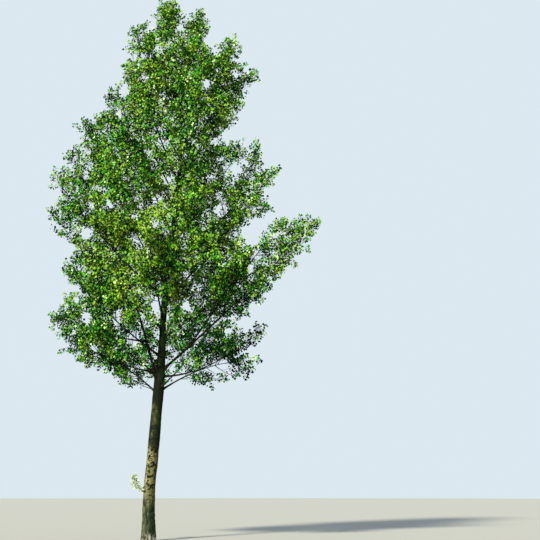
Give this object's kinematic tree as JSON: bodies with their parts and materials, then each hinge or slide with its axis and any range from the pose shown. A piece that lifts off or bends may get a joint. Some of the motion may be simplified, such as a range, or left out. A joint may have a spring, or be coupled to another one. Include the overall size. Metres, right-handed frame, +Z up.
{
  "type": "aspen tree",
  "caption": "Young aspen with a bare leaning trunk, rising boughs and a broad pointed crown of small leaves in separate plumes.",
  "frame": {"origin": "centre of the flat cut under the trunk, at ground level", "axes": "+Z up, +X to the right and +Y away as the picture's camera sees the tree"},
  "size_m": [8.7874, 6.4443, 17.7947],
  "materials": {
    "trunk_bark": "olive-tan bark with dark pores, dark and fissured near the ground",
    "limb_bark": "smooth dark olive-brown bark",
    "foliage": "waxy mid-green leaves, yellower in the light",
    "shoot_leaves": "pale cream-green young leaves"
  },
  "bodies": {
    "root": {"crown_top_foliage": "foliage", "far_side_1_bough": "limb_bark", "far_side_1_foliage": "foliage", "far_side_2_bough": "limb_bark", "far_side_2_foliage": "foliage", "far_side_3_bough": "limb_bark", "far_side_3_foliage": "foliage", "far_side_4_foliage": "foliage", "far_side_5_foliage": "foliage", "far_side_6_foliage": "foliage", "far_side_7_foliage": "foliage", "left_elbow_bough": "limb_bark", "left_elbow_foliage": "foliage", "left_flank_bough": "limb_bark", "left_flank_foliage": "foliage", "left_high_foliage": "foliage", "left_horn_bough": "limb_bark", "left_horn_foliage": "foliage", "left_shoulder_foliage": "foliage", "left_skirt_bough": "limb_bark", "left_skirt_foliage": "foliage", "left_spur_bough": "limb_bark", "left_spur_foliage": "foliage", "left_tip_foliage": "foliage", "left_upper_foliage": "foliage", "left_upright_bough": "limb_bark", "left_upright_foliage": "foliage", "long_right_bough": "limb_bark", "long_right_foliage": "foliage", "low_left_bough": "limb_bark", "low_left_foliage": "foliage", "low_right_bough": "limb_bark", "low_right_foliage": "foliage", "near_side_1_bough": "limb_bark", "near_side_1_foliage": "foliage", "near_side_2_bough": "limb_bark", "near_side_2_foliage": "foliage", "near_side_3_bough": "limb_bark", "near_side_3_foliage": "foliage", "near_side_4_bough": "limb_bark", "near_side_4_foliage": "foliage", "near_side_5_foliage": "foliage", "near_side_6_foliage": "foliage", "near_side_7_foliage": "foliage", "right_crest_foliage": "foliage", "right_high_foliage": "foliage", "right_horn_bough": "limb_bark", "right_horn_foliage": "foliage", "right_nub_foliage": "foliage", "right_plume_bough": "limb_bark", "right_plume_foliage": "foliage", "right_prong_foliage": "foliage", "right_shoulder_bough": "limb_bark", "right_shoulder_foliage": "foliage", "right_tip_foliage": "foliage", "right_tuft_bough": "limb_bark", "right_tuft_foliage": "foliage", "right_upper_foliage": "foliage", "trunk": "trunk_bark", "trunk_shoot": "shoot_leaves"}
  },
  "joints": []
}
